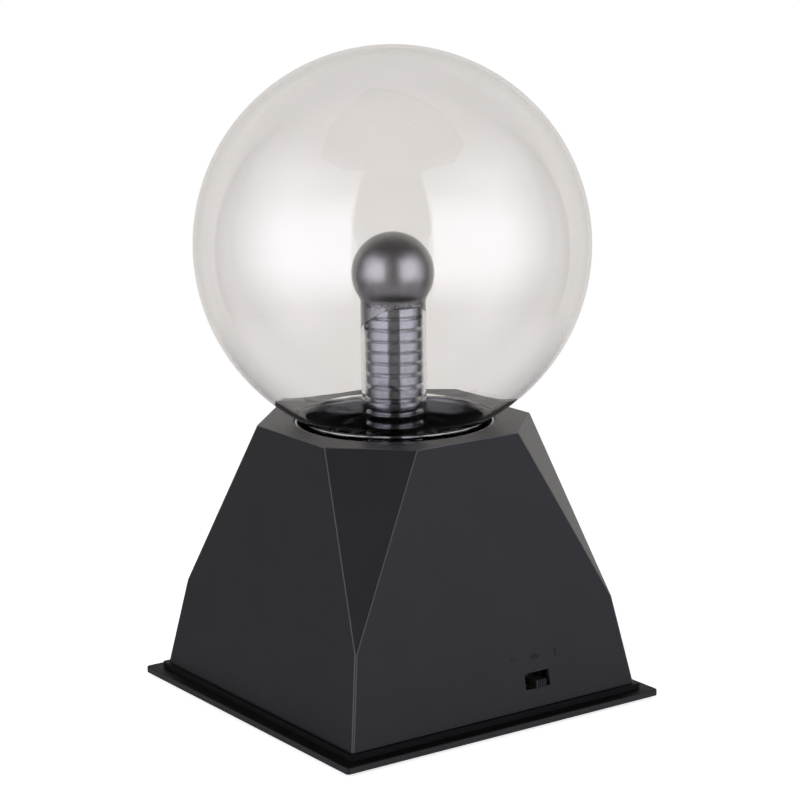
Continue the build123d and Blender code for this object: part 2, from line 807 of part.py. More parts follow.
resistor_xs = [-44 + resistor_pitch * step for step in range(6)]
with BuildPart() as resistors:
    for x in resistor_xs:
        with BuildSketch(Plane.XZ.offset(-resistor_y)):
            with Locations((x, board_top + resistor_lift)):
                Circle(resistor_radius)
        extrude(amount=resistor_half, both=True)
        with BuildSketch(Plane.XZ.offset(-resistor_y)):
            with Locations((x, board_top + resistor_lift)):
                Circle(0.3)
        extrude(amount=leg_reach - 0.1, both=True)
        with BuildSketch(Plane.XY.offset(board_top)):
            with Locations((x, resistor_y - leg_reach), (x, resistor_y + leg_reach)):
                Circle(0.4)
        extrude(amount=resistor_lift + 0.5)
resistors.part.label = "resistors"

with BuildPart() as input_choke:
    with BuildSketch(Plane.XZ.offset(-choke_spot[1])):
        with Locations((choke_spot[0], board_top + choke_outer + 0.1)):
            Circle(choke_outer)
            Circle(choke_inner, mode=Mode.SUBTRACT)
    extrude(amount=choke_width / 2, both=True)
    chamfer(input_choke.edges().filter_by(GeomType.CIRCLE), length=1.0)
input_choke.part.label = "input_choke"

socket_x, socket_y = socket_spot
with BuildPart() as lead_connector:
    with BuildSketch(Plane.XY.offset(board_top)):
        with Locations(socket_spot):
            Rectangle(*socket_size[:2])
    extrude(amount=socket_size[2])
lead_connector.part.label = "lead_connector"

# ---------------------------------------------------------------- slide switch
frame_y = frame_front_y + frame_depth / 2
frame_middle_z = board_top + frame_height / 2
frame_back_y = frame_front_y + frame_depth
with BuildPart() as switch_frame:
    with BuildSketch(Plane.XY.offset(board_top)):
        with Locations((switch_x, frame_y)):
            Rectangle(frame_width, frame_depth)
    extrude(amount=frame_height)
    with BuildSketch(Plane.XZ.offset(-frame_back_y)):
        with Locations((switch_x, frame_middle_z)):
            Rectangle(frame_width - 2 * frame_sheet, frame_height - 2 * frame_sheet)
    extrude(amount=frame_depth - frame_sheet, mode=Mode.SUBTRACT)
    with BuildSketch(Plane.XZ.offset(-frame_front_y)):
        with Locations((switch_x, knob_z)):
            slot_width = knob_width + 2 * (knob_travel + frame_slot_gap)
            Rectangle(slot_width, knob_height + 2 * frame_slot_gap)
    extrude(amount=-frame_sheet, mode=Mode.SUBTRACT)
switch_frame.part.label = "switch_frame"

base_thickness = 2.0
with BuildPart() as switch_base:
    with BuildSketch(Plane.XZ.offset(-frame_back_y)):
        with Locations((switch_x, frame_middle_z)):
            Rectangle(frame_width - 2 * frame_sheet - 0.1, frame_height - 2 * frame_sheet - 0.1)
    extrude(amount=base_thickness)
    with BuildSketch(Plane.XY.offset(board_top)):
        with Locations((switch_x, frame_back_y + 1.0)):
            with GridLocations(4.0, 0, 4, 1):
                Rectangle(0.8, 0.5)
    extrude(amount=frame_height / 2)
    with BuildSketch(Plane.XZ.offset(-frame_back_y)):
        with Locations((switch_x, board_top + frame_height / 2 - 0.25)):
            with GridLocations(4.0, 0, 4, 1):
                Rectangle(0.8, 0.5)
    extrude(amount=-1.25)
switch_base.part.label = "switch_base"

carrier_width = 8.6
carrier_height = 6.0
carrier_front = frame_front_y + frame_sheet + 0.3
carrier_depth = 3.2
with BuildPart() as switch_knob:
    with BuildSketch(Plane.XZ.offset(-carrier_front - carrier_depth)):
        with Locations((switch_x, knob_z)):
            Rectangle(carrier_width, carrier_height)
    extrude(amount=carrier_depth)
    with BuildSketch(Plane.XZ.offset(-carrier_front)):
        with Locations((switch_x, knob_z)):
            Rectangle(knob_width, knob_height)
    extrude(amount=carrier_front - knob_end_y)
    fillet(switch_knob.faces().sort_by(Axis.Y)[0].edges(), radius=0.3)
    # grip grooves between five upright ribs
    with BuildSketch(Plane.XZ.offset(-knob_end_y)):
        with Locations((switch_x, knob_z)):
            with GridLocations(groove_pitch, 0, 4, 1):
                Rectangle(groove_width, knob_height + 1)
    extrude(amount=-groove_depth, mode=Mode.SUBTRACT)
switch_knob.part.label = "switch_knob"

wiper_y = carrier_front + carrier_depth
with BuildPart() as switch_wiper:
    with BuildSketch(Plane.XZ.offset(-wiper_y)):
        with Locations((switch_x, knob_z)):
            Rectangle(7.0, 4.4)
    extrude(amount=-0.4)
    with BuildSketch(Plane.XZ.offset(-wiper_y - 0.4)):
        with Locations((switch_x, knob_z)):
            with GridLocations(4.0, 2.4, 2, 2):
                Circle(0.5)
    extrude(amount=-0.8)
switch_wiper.part.label = "switch_wiper"

# ---------------------------------------------------------------- power socket
jack_plane = Plane(origin=(jack_x, wall_half(jack_z), jack_z), x_dir=(-1, 0, 0), z_dir=back_out)
with BuildPart() as dc_jack:
    with BuildSketch(jack_plane):
        Circle(jack_flange_radius)
    extrude(amount=jack_flange)
    chamfer(dc_jack.faces().sort_by(Axis.Y)[-1].edges(), length=0.4)
    with BuildSketch(jack_plane):
        Circle(jack_barrel)
    extrude(amount=-jack_length)
    with BuildSketch(jack_plane.offset(jack_flange)):
        Circle(jack_bore)
    extrude(amount=-(jack_length - 1.0), mode=Mode.SUBTRACT)
    with BuildSketch(jack_plane.offset(-jack_length)):
        Circle(jack_pin_radius)
    extrude(amount=4, mode=Mode.SUBTRACT)
dc_jack.part.label = "dc_jack"

with BuildPart() as jack_pin:
    with BuildSketch(jack_plane.offset(-jack_length)):
        Circle(jack_pin_radius)
    extrude(amount=jack_length - 0.5)
    fillet(jack_pin.faces().sort_by(Axis.Y)[-1].edges(), radius=0.4)
jack_pin.part.label = "jack_pin"

with BuildPart() as jack_nut:
    with BuildSketch(jack_plane.offset(-wall)):
        RegularPolygon(radius=nut_radius, side_count=6)
        Circle(jack_barrel + 0.05, mode=Mode.SUBTRACT)
    extrude(amount=-nut_height)
jack_nut.part.label = "jack_nut"

lead_step = 3.6
jack_back = jack_plane.origin - back_out * jack_length
socket_face = socket_y + socket_size[1] / 2
lead_height = board_top + socket_size[2] / 2
contact_half = 2.2
jack_leads = []
for lead_name, side in (("jack_lead_plus", -1), ("jack_lead_minus", 1)):
    start = jack_back + Vector(side * lead_step, 0, 0)
    wire_run = [
        tuple(start),
        tuple(start - back_out * 15),
        (socket_x + side * contact_half, socket_face + 15, lead_height),
        (socket_x + side * contact_half, socket_face, lead_height),
    ]
    jack_lead = lead(wire_run, 0.8)
    jack_lead.part.label = lead_name
    jack_leads.append(jack_lead)

# ---------------------------------------------------------------- export
pieces = [
    base_plate,
    *feet,
    base_screws,
    housing,
    globe_cradle,
    cradle_screws,
    globe_gasket,
    silicone_bead,
    glass_globe,
    electrode_glass,
    electrode_coating,
    contact_sleeve,
    contact_plug,
    plug_screws,
    contact_disc,
    circuit_board,
    board_screws,
    transformer_core,
    transformer_bobbin,
    primary_winding,
    hv_winding,
    hv_lead,
    heatsink,
    power_transistor,
    transistor_screw,
    filter_capacitor,
    small_capacitors,
    microphone,
    driver_chip,
    resistors,
    input_choke,
    lead_connector,
    switch_frame,
    switch_base,
    switch_knob,
    switch_wiper,
    dc_jack,
    jack_pin,
    jack_nut,
    *jack_leads,
]
os.makedirs("parts", exist_ok=True)
for piece in pieces:
    export_step(piece.part, f"parts/{piece.part.label}.step")
    size = piece.part.bounding_box().size
    print(piece.part.label, len(piece.part.solids()), [round(v, 2) for v in size])
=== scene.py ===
# %% [markdown]
# # A plasma ball, finished in Blender
# The object is a blown glass globe on a faceted black base, with a glass-cased electrode standing
# in the middle. The imported model gives every piece its place, so this script only makes the
# surfaces and finishes. First we load it, and sizes are read from its pieces' boxes.

# %% Load the imported model
from math import atan2, cos, pi, radians, sin, sqrt

import bpy
import numpy as np
from mathutils import Matrix, Vector


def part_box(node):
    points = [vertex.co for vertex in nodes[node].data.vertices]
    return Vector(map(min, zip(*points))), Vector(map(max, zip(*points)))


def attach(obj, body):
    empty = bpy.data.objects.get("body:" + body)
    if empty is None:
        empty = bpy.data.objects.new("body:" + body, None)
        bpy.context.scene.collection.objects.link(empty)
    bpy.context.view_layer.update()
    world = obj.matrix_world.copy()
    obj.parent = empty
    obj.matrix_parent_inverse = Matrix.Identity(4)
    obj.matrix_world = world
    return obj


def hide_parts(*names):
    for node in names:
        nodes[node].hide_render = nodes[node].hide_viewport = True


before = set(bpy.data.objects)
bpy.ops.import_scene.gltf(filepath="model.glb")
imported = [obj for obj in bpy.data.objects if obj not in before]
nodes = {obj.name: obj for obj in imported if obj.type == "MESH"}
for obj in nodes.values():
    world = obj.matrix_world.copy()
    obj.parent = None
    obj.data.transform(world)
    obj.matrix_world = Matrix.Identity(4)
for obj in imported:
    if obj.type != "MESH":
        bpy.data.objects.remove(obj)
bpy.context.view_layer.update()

MM = 0.001

# %% [markdown]
# ## Camera
# A long lens from a little above the table keeps the square base from looking stretched. We could
# aim a camera with a Track To constraint, but a matrix built from the line of sight gives the
# small roll as well and leaves nothing live in the scene.

# %% The camera
CAMERA_AZIMUTH = radians(34.88)  # to the left of straight in front
CAMERA_PITCH = radians(12.41)
CAMERA_ROLL = radians(0.67)
CAMERA_SPOT = Vector((-0.7187, -1.0338, 0.4294))
LENS_MM = 113.8
sight = Vector((
    sin(CAMERA_AZIMUTH) * cos(CAMERA_PITCH),
    cos(CAMERA_AZIMUTH) * cos(CAMERA_PITCH),
    -sin(CAMERA_PITCH),
))
level_right = sight.cross(Vector((0, 0, 1))).normalized()
level_up = level_right.cross(sight)
right = level_right * cos(CAMERA_ROLL) - level_up * sin(CAMERA_ROLL)
up = level_up * cos(CAMERA_ROLL) + level_right * sin(CAMERA_ROLL)
camera_data = bpy.data.cameras.new("camera")
camera_data.lens = LENS_MM
camera_data.sensor_width = 36
camera_data.shift_x = 0.0032
camera_data.shift_y = 0.0013
camera_data.clip_start = 0.05
camera = bpy.data.objects.new("camera", camera_data)
axes = Matrix((right, up, -sight)).transposed().to_4x4()
camera.matrix_world = Matrix.Translation(CAMERA_SPOT) @ axes
bpy.context.scene.collection.objects.link(camera)
bpy.context.scene.camera = camera
print("camera right", [round(v, 4) for v in right], "up", [round(v, 4) for v in up])

# %% [markdown]
# ## Building blocks for finishes
# Every finish is a small node tree. One function turns a hex colour into the linear numbers that
# Blender works in, and one adds a node with its settings and links. Patterns read Object
# coordinates, which are metres here, so a grain of a given size in millimetres has a scale of
# 1000 over that size.

# %% Colours and nodes
def linear(hex_colour):
    """An sRGB colour such as "#8a8a90", as linear red, green, blue and an alpha of 1."""
    parts = [int(hex_colour[i:i + 2], 16) / 255 for i in (1, 3, 5)]
    bent = [p / 12.92 if p <= 0.04045 else ((p + 0.055) / 1.055) ** 2.4 for p in parts]
    return (*bent, 1.0)


def add_node(tree, kind, sockets=None, **settings):
    """Adds a node. sockets maps an input's name or number to a value, or to an output to link."""
    node = tree.nodes.new(kind)
    for name, value in settings.items():
        setattr(node, name, value)
    for key, value in (sockets or {}).items():
        if isinstance(value, bpy.types.NodeSocket):
            tree.links.new(value, node.inputs[key])
        else:
            node.inputs[key].default_value = value
    return node


def grain(size_mm):
    """Texture scale at which one cell of noise is size_mm across."""
    return 1 / (size_mm * MM)


def new_finish(name):
    """A material with an empty tree, its output node and its Object coordinates."""
    material = bpy.data.materials.new(name)
    material.use_nodes = True
    tree = material.node_tree
    tree.nodes.clear()
    output = add_node(tree, "ShaderNodeOutputMaterial")
    place = add_node(tree, "ShaderNodeTexCoord").outputs["Object"]
    return material, tree, output, place


def noise(tree, place, size_mm, detail=3.0, roughness=0.55):
    """A noise pattern whose largest cells are size_mm across, from 0 to 1."""
    settings = {"Vector": place, "Scale": grain(size_mm), "Detail": detail, "Roughness": roughness}
    return add_node(tree, "ShaderNodeTexNoise", settings).outputs["Fac"]


def between(tree, share, low, high):
    """A number that runs from low to high as share runs from 0.3 to 0.7, as noise does."""
    sockets = {"Value": share, "From Min": 0.3, "From Max": 0.7, "To Min": low, "To Max": high}
    return add_node(tree, "ShaderNodeMapRange", sockets).outputs["Result"]


def blend_colours(tree, share, dark, light):
    """A colour that runs from dark to light as share runs from 0.3 to 0.7."""
    ramp = add_node(tree, "ShaderNodeValToRGB", {"Fac": share})
    ramp.color_ramp.elements[0].position = 0.3
    ramp.color_ramp.elements[0].color = linear(dark)
    ramp.color_ramp.elements[1].position = 0.7
    ramp.color_ramp.elements[1].color = linear(light)
    return ramp.outputs["Color"]


def raised(tree, height, depth_mm, strength=1.0):
    """A bump normal from a height pattern of 0 to 1 that stands depth_mm high."""
    settings = {"Height": height, "Distance": depth_mm * MM, "Strength": strength}
    return add_node(tree, "ShaderNodeBump", settings).outputs["Normal"]


def close_finish(tree, output, sockets):
    """Puts a Principled shader with these sockets on the output."""
    shader = add_node(tree, "ShaderNodeBsdfPrincipled", sockets)
    tree.links.new(shader.outputs["BSDF"], output.inputs["Surface"])
    return shader


# %% [markdown]
# ## Finishes that many small pieces share
# Moulded plastic, cast or rolled metal, rubber and paint differ in colour, gloss and grain, but
# each is a base colour that varies a little, a roughness that varies with it, and a fine bump.
# Writing that once and giving it real grain sizes keeps thirty finishes short.

# %% A moulded, rolled or painted finish
PLASTIC_IOR = 1.5
CLOUDS_PER_GRAIN = 12  # colour clouds are this many grains across


def grained(name, dark, light, grain_mm, depth_mm, gloss, metal=0.0):
    """Two close colours in soft clouds, a fine grain in the bump, and roughness between gloss's
    two values in larger patches."""
    material, tree, output, place = new_finish(name)
    clouds = noise(tree, place, grain_mm * CLOUDS_PER_GRAIN, detail=2.0)
    fine = noise(tree, place, grain_mm, detail=4.0)
    sockets = {
        "Base Color": blend_colours(tree, clouds, dark, light),
        "Roughness": between(tree, clouds, *gloss),
        "Normal": raised(tree, fine, depth_mm),
        "Metallic": metal,
    }
    if not metal:
        sockets["IOR"] = PLASTIC_IOR
    close_finish(tree, output, sockets)
    return material


# %% [markdown]
# ## Black plastics of the base
# The housing is injection-moulded ABS, and its mould was spark-eroded, which leaves a fine matt
# grain about a third of a millimetre across. The rounded ridges carry a painted highlight, a
# lighter base colour, and are smoother as well. We find them from the normal, because painting a
# mask by hand would tie the finish to one mesh. The plate under it is the same plastic from a
# smoother mould, darker, with a shinier rim. The dish around the neck is polished, so it mirrors
# the soft boxes.

# %% Housing, plate and dish plastics
WALL_NORMAL = (0.985, 0.174)  # sideways and up, of a leaning side wall
FACET_NORMAL = (0.633, 0.447)  # along x and y each, and up, of a corner facet
RIDGE_MATCH = (0.90, 0.995)  # full ridge below the first match with a flat face, none above
ABS_IOR = 1.54


def off_the_flats(tree):
    """1 on the rounded ridges and 0 on flat faces: the normal is compared with the walls', the
    facets' and the top's own normals, and a ridge is where it matches none of them."""
    facing = add_node(tree, "ShaderNodeNewGeometry").outputs["Normal"]
    sizes = add_node(tree, "ShaderNodeVectorMath", {0: facing}, operation="ABSOLUTE")
    parts = add_node(tree, "ShaderNodeSeparateXYZ", {"Vector": sizes.outputs["Vector"]}).outputs
    up_part = add_node(tree, "ShaderNodeSeparateXYZ", {"Vector": facing}).outputs["Z"]
    larger = add_node(tree, "ShaderNodeMath", {0: parts["X"], 1: parts["Y"]}, operation="MAXIMUM")
    both = add_node(tree, "ShaderNodeMath", {0: parts["X"], 1: parts["Y"]}, operation="ADD")
    best = up_part
    for sideways, (across, rise) in ((larger, WALL_NORMAL), (both, FACET_NORMAL)):
        lift = add_node(tree, "ShaderNodeMath", {0: up_part, 1: rise}, operation="MULTIPLY")
        match = add_node(tree, "ShaderNodeMath", {
            0: sideways.outputs[0], 1: across, 2: lift.outputs[0],
        }, operation="MULTIPLY_ADD")
        best = add_node(
            tree, "ShaderNodeMath", {0: best, 1: match.outputs[0]}, operation="MAXIMUM"
        ).outputs[0]
    return add_node(tree, "ShaderNodeMapRange", {
        "Value": best, "From Min": RIDGE_MATCH[0], "From Max": RIDGE_MATCH[1],
        "To Min": 1.0, "To Max": 0.0,
    }).outputs["Result"]


def mixed(tree, share, first, second):
    """A colour between two colours or colour outputs."""
    node = add_node(tree, "ShaderNodeMix", data_type="RGBA")
    for socket, value in ((0, share), (6, first), (7, second)):
        if isinstance(value, bpy.types.NodeSocket):
            tree.links.new(value, node.inputs[socket])
        else:
            node.inputs[socket].default_value = value
    return node.outputs[2]


def spark_grained_abs():
    """Grain of 0.35 mm drawn at 0.5 mm so that it shows, over faint flow marks 30 mm long.
    Handling has rubbed the ridges smoother, and their lighter base colour is a painted highlight.
    A rough face looks glossier when seen from a low angle."""
    material, tree, output, place = new_finish("abs_black_spark_grained")
    grain_bumps = noise(tree, place, 0.5, detail=5.0, roughness=0.7)
    flow = noise(tree, place, 30.0, detail=2.0)
    mottle = noise(tree, place, 1.6, detail=3.0)
    shade = add_node(tree, "ShaderNodeMix", {0: 0.5, 2: flow, 3: mottle}).outputs[0]
    # mask of the rounded ridges: it paints a highlight into the base colour and makes them
    # smoother
    ridge_highlight_and_polish = off_the_flats(tree)
    body = blend_colours(tree, shade, "#18181a", "#1f1f22")
    rough = between(tree, mottle, 0.46, 0.54)
    slope = add_node(tree, "ShaderNodeLayerWeight", {"Blend": 0.5}).outputs["Facing"]
    low_view = add_node(tree, "ShaderNodeMapRange", {
        "Value": slope, "From Min": 0.6, "From Max": 0.85, "To Min": 1.0, "To Max": 0.62,
    }).outputs["Result"]
    matt = add_node(tree, "ShaderNodeMath", {0: rough, 1: low_view}, operation="MULTIPLY")
    close_finish(tree, output, {
        # painted highlight: the ridges get the lighter grey #68686c as their base colour
        "Base Color": mixed(tree, ridge_highlight_and_polish, body, linear("#68686c")),
        "Roughness": add_node(
            tree, "ShaderNodeMix", {0: ridge_highlight_and_polish, 2: matt.outputs[0], 3: 0.36}
        ).outputs[0],
        "Specular IOR Level": 0.25,
        "IOR": ABS_IOR,
        "Normal": raised(tree, grain_bumps, 0.05, 0.5),
    })
    return material


def polished_abs():
    """A mirror-like black with a slow waviness of 9 mm from cooling, and hairline marks."""
    material, tree, output, place = new_finish("abs_black_polished")
    waves = noise(tree, place, 9.0, detail=1.0)
    marks = noise(tree, place, 1.0, detail=4.0)
    close_finish(tree, output, {
        "Base Color": blend_colours(tree, waves, "#050506", "#0a0a0b"),
        "Roughness": between(tree, marks, 0.05, 0.11),
        "Specular IOR Level": 0.8,
        "IOR": ABS_IOR,
        "Normal": raised(tree, waves, 0.06, 0.5),
    })
    return material


PLATE_RIM_TOP = 0.0047  # height of the plate's rim, in metres


def satin_abs(rim_top):
    """Satin black, shinier on the rim that hands touch, up to the height rim_top in metres. The
    raised pad above it is matt. The change happens within 0.2 mm."""
    material, tree, output, place = new_finish("abs_black_satin")
    clouds = noise(tree, place, 5.0, detail=2.0)
    fine = noise(tree, place, 0.4, detail=4.0)
    height = add_node(tree, "ShaderNodeSeparateXYZ", {"Vector": place}).outputs["Z"]
    shine = add_node(tree, "ShaderNodeMapRange", {
        "Value": height, "From Min": rim_top - 0.0003, "From Max": rim_top - 0.0001,
        "To Min": 0.55, "To Max": 0.12,
    }).outputs["Result"]
    close_finish(tree, output, {
        "Base Color": blend_colours(tree, clouds, "#0f0f10", "#151516"),
        "Roughness": between(tree, clouds, 0.5, 0.6),
        "Specular IOR Level": shine,
        "Normal": raised(tree, fine, 0.03),
    })
    return material


housing_abs = spark_grained_abs()
dish_abs = polished_abs()
plate_abs = satin_abs(PLATE_RIM_TOP)
print("base plastics:", housing_abs.name, dish_abs.name, plate_abs.name)

# %% [markdown]
# ## Glass
# Both glasses are soda-lime, blown on a lathe. Full transmission with an index of 1.5 bends the
# light at each wall and gives the faint double reflections. Where we look along a wall, the light
# crosses more glass, so the tint deepens there and draws the outline. A trace of colour cloud and
# a slow ripple stand for the thickness that blowing leaves uneven.

# %% Blown glass
GLASS_IOR = 1.5
GLASS_RIPPLE_DEPTH = 0.02  # in mm


def blown_glass(name, thin, thick, rim, ripple_mm):
    """Clear glass between two close tints, with ripples of the given size. The tint moves to rim
    with the fourth power of how far the surface turns away from the eye."""
    material, tree, output, place = new_finish(name)
    clouds = noise(tree, place, 60.0, detail=1.0)
    ripples = noise(tree, place, ripple_mm, detail=1.0)
    facing = add_node(tree, "ShaderNodeLayerWeight", {"Blend": 0.5}).outputs["Facing"]
    along = add_node(tree, "ShaderNodeMath", {0: facing, 1: 4.0}, operation="POWER").outputs[0]
    close_finish(tree, output, {
        "Base Color": mixed(tree, along, blend_colours(tree, clouds, thick, thin), linear(rim)),
        "Roughness": 0.0,
        "IOR": GLASS_IOR,
        "Transmission Weight": 1.0,
        "Normal": raised(tree, ripples, GLASS_RIPPLE_DEPTH, 0.1),
    })
    return material


globe_tint = blown_glass("soda_lime_glass_smoked", "#fefdfd", "#fcfbfa", "#8e8a87", 40.0)
tube_tint = blown_glass("soda_lime_glass_clear", "#fbfbfa", "#f6f6f5", "#7c7a78", 14.0)
print("glasses:", globe_tint.name, tube_tint.name)

# %% [markdown]
# ## Metals of the electrode
# The bulb is lined with a thin dark metal film, fired onto the glass. It mirrors the soft boxes
# softly, is speckled near the top, and crazes where the bulb meets the tube, because glass and
# metal shrink differently there. The corrugated sleeve that carries the voltage up to it is
# bright drawn metal.

# %% Metal film and sleeve metal
FILM_CRAZE_Z = 0.2035  # height of the crazed belt where the bulb meets the tube
CRAZE_BELT = (0.0006, 0.0026)  # distances from it at which the cracks start to fade and end
CRAZE_CELL = 3.2  # size of one crazed flake, in mm
FILM_TOP_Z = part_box("electrode_coating")[1].z
SPECKLED_CAP = 0.016  # height below the top over which the specks fade in
FLAKE_SPOT = (0.0042, -0.0146, 0.2005)  # where a chip of the film has come off the glass
FLAKE_REACH = (0.0012, 0.0045)
FLAKE_LIMIT = 0.42  # more of this is a hole


def metal_film():
    """Dark mirror, with cracks from a cell pattern in a belt, and specks that fade in upwards."""
    material, tree, output, place = new_finish("metal_film_fired_on_glass")
    height = add_node(tree, "ShaderNodeSeparateXYZ", {"Vector": place}).outputs["Z"]
    cloud = noise(tree, place, 7.0, detail=4.0)
    fine = noise(tree, place, 0.9, detail=3.0)
    cells = add_node(tree, "ShaderNodeTexVoronoi", {"Vector": place, "Scale": grain(CRAZE_CELL)})
    cells.feature = "DISTANCE_TO_EDGE"
    crack = add_node(tree, "ShaderNodeMapRange", {
        "Value": cells.outputs["Distance"], "From Min": 0.0, "From Max": 0.09,
        "To Min": 1.0, "To Max": 0.0,
    }).outputs["Result"]
    above_belt = add_node(
        tree, "ShaderNodeMath", {0: height, 1: FILM_CRAZE_Z}, operation="SUBTRACT"
    ).outputs[0]
    from_belt = add_node(tree, "ShaderNodeMath", {0: above_belt}, operation="ABSOLUTE").outputs[0]
    belt = add_node(tree, "ShaderNodeMapRange", {
        "Value": from_belt, "From Min": CRAZE_BELT[0], "From Max": CRAZE_BELT[1],
        "To Min": 1.0, "To Max": 0.0,
    }).outputs["Result"]
    crazed = add_node(tree, "ShaderNodeMath", {0: crack, 1: belt}, operation="MULTIPLY").outputs[0]
    high = add_node(tree, "ShaderNodeMapRange", {
        "Value": height, "From Min": FILM_TOP_Z - SPECKLED_CAP, "From Max": FILM_TOP_Z,
        "To Min": 0.0, "To Max": 1.0,
    }).outputs["Result"]
    speck = add_node(tree, "ShaderNodeMapRange", {
        "Value": fine, "From Min": 0.6, "From Max": 0.68, "To Min": 0.0, "To Max": 0.7,
    }).outputs["Result"]
    specks = add_node(tree, "ShaderNodeMath", {0: speck, 1: high}, operation="MULTIPLY").outputs[0]
    metal = blend_colours(tree, cloud, "#a4a2a3", "#b4b2b3")
    cracked = mixed(tree, crazed, metal, linear("#1c1c1e"))
    speckled = mixed(tree, specks, cracked, linear("#d8d8dc"))
    from_flake = add_node(
        tree, "ShaderNodeVectorMath", {0: place, 1: FLAKE_SPOT}, operation="DISTANCE"
    ).outputs["Value"]
    flake_reach = add_node(tree, "ShaderNodeMapRange", {
        "Value": from_flake, "From Min": FLAKE_REACH[0], "From Max": FLAKE_REACH[1],
        "To Min": 1.0, "To Max": 0.0,
    }).outputs["Result"]
    flaked = add_node(tree, "ShaderNodeMath", {0: flake_reach, 1: fine}, operation="MULTIPLY")
    kept = add_node(
        tree, "ShaderNodeMath", {0: flaked.outputs[0], 1: FLAKE_LIMIT}, operation="LESS_THAN"
    ).outputs[0]
    close_finish(tree, output, {
        "Base Color": speckled,
        "Metallic": 1.0,
        "Alpha": kept,
        "Roughness": between(tree, cloud, 0.28, 0.36),
        "Normal": raised(tree, fine, 0.01, 0.5),
    })
    return material


film_finish = metal_film()
sleeve_finish = grained(
    "drawn_nickel_strip", "#9a9aa0", "#ababb1", 0.6, 0.002, (0.12, 0.18), metal=1.0
)
print("electrode metals:", film_finish.name, sleeve_finish.name)

# %% [markdown]
# ## Finishes of the hidden and small pieces
# Screws, rubber feet, wound copper and the parts on the board aren't seen from outside, but they
# are when the base is opened, so each gets the finish of the real part.

# %% Rubber, steel, copper and board parts
def wound_wire(name, dark, light, pitch_mm, gloss, metal):
    """Turns of wire as bands along Z, one every pitch_mm, with painted shade: the colour is darker
    in the grooves between turns. A wave's scale is pi over ten times its length."""
    material, tree, output, place = new_finish(name)
    turns = add_node(tree, "ShaderNodeTexWave", {
        "Vector": place, "Scale": pi / (10 * pitch_mm * MM), "Distortion": 0.6,
        "Detail": 1.0, "Detail Scale": 2.0,
    }, bands_direction="Z").outputs["Fac"]
    close_finish(tree, output, {
        # painted shade: the base colour darkens in the grooves between turns
        "Base Color": blend_colours(tree, turns, dark, light),
        "Roughness": between(tree, turns, *gloss),
        "Metallic": metal,
        "Normal": raised(tree, turns, pitch_mm / 3, 0.8),
    })
    return material


def capped_sleeve(name, sleeve, sleeve_light, cap):
    """Shrink sleeve on the sides and bare aluminium wherever the surface faces straight up."""
    material, tree, output, place = new_finish(name)
    facing = add_node(tree, "ShaderNodeNewGeometry").outputs["Normal"]
    upward = add_node(tree, "ShaderNodeSeparateXYZ", {"Vector": facing}).outputs["Z"]
    is_cap = add_node(
        tree, "ShaderNodeMath", {0: upward, 1: 0.9}, operation="GREATER_THAN"
    ).outputs[0]
    film = blend_colours(tree, noise(tree, place, 2.0), sleeve, sleeve_light)
    close_finish(tree, output, {
        "Base Color": mixed(tree, is_cap, film, linear(cap)),
        "Metallic": is_cap,
        "Roughness": between(tree, noise(tree, place, 4.0), 0.3, 0.4),
    })
    return material


def banded_body(name, body, band, pitch_mm):
    """Painted ceramic with colour bands across its length, one every pitch_mm along Y."""
    material, tree, output, place = new_finish(name)
    bands = add_node(tree, "ShaderNodeTexWave", {
        "Vector": place, "Scale": pi / (10 * pitch_mm * MM), "Distortion": 0.0,
    }, bands_direction="Y").outputs["Fac"]
    close_finish(tree, output, {
        "Base Color": blend_colours(tree, bands, body, band),
        "Roughness": between(tree, noise(tree, place, 1.0), 0.35, 0.5),
    })
    return material


